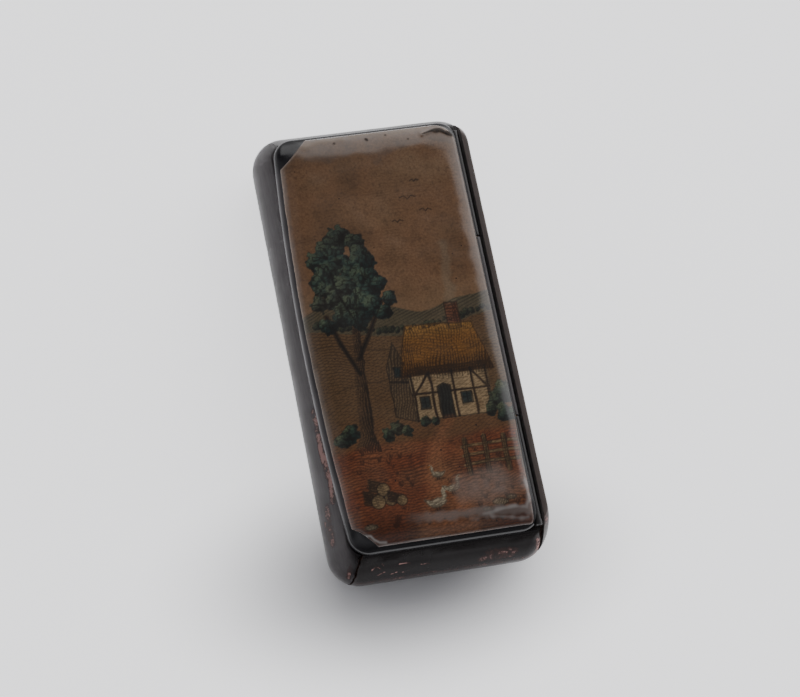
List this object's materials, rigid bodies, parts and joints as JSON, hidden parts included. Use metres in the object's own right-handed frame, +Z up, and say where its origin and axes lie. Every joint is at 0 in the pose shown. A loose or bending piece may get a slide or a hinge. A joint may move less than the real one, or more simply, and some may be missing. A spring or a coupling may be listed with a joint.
{
  "type": "snuff box",
  "caption": "Oblong papier-mache snuff box with swelling walls, a varnished print on its bowed lid and a knuckle hinge behind a standing back wall.",
  "frame": {"origin": "centre of the box's length and width, on the flat underside", "axes": "+X across the box towards the hinge, +Y along its length, +Z up through the lid"},
  "size_m": [0.0424, 0.09, 0.0186],
  "materials": {
    "japanned_body": "black japanned papier-mache, gloss worn in places",
    "worn_rail": "japan rubbed down to dark brown",
    "hinge_strips": "satin black",
    "inner_lips": "dark red-brown lacquer",
    "pin": "dull",
    "japanned_lid": "black japanned papier-mache, gloss",
    "print": "paper under aged glossy varnish"
  },
  "bodies": {
    "box": {"base_board": "japanned_body", "front_wall": "japanned_body", "near_end_wall": "japanned_body", "far_end_wall": "japanned_body", "hinge_side_wall": "worn_rail", "body_hinge_strip": "hinge_strips", "front_inner_lip": "inner_lips", "near_inner_lip": "inner_lips", "far_inner_lip": "inner_lips", "hinge_pin": "pin"},
    "lid": {"lid_board": "japanned_lid", "lid_hinge_strip": "hinge_strips", "lid_print": "print"}
  },
  "joints": [
    {"name": "lid_hinge", "type": "hinge", "parent": "box", "child": "lid", "pos_m": [0.01775, 0, 0.01635], "axis": [0, 1, 0], "range_deg": [0, 100]}
  ]
}
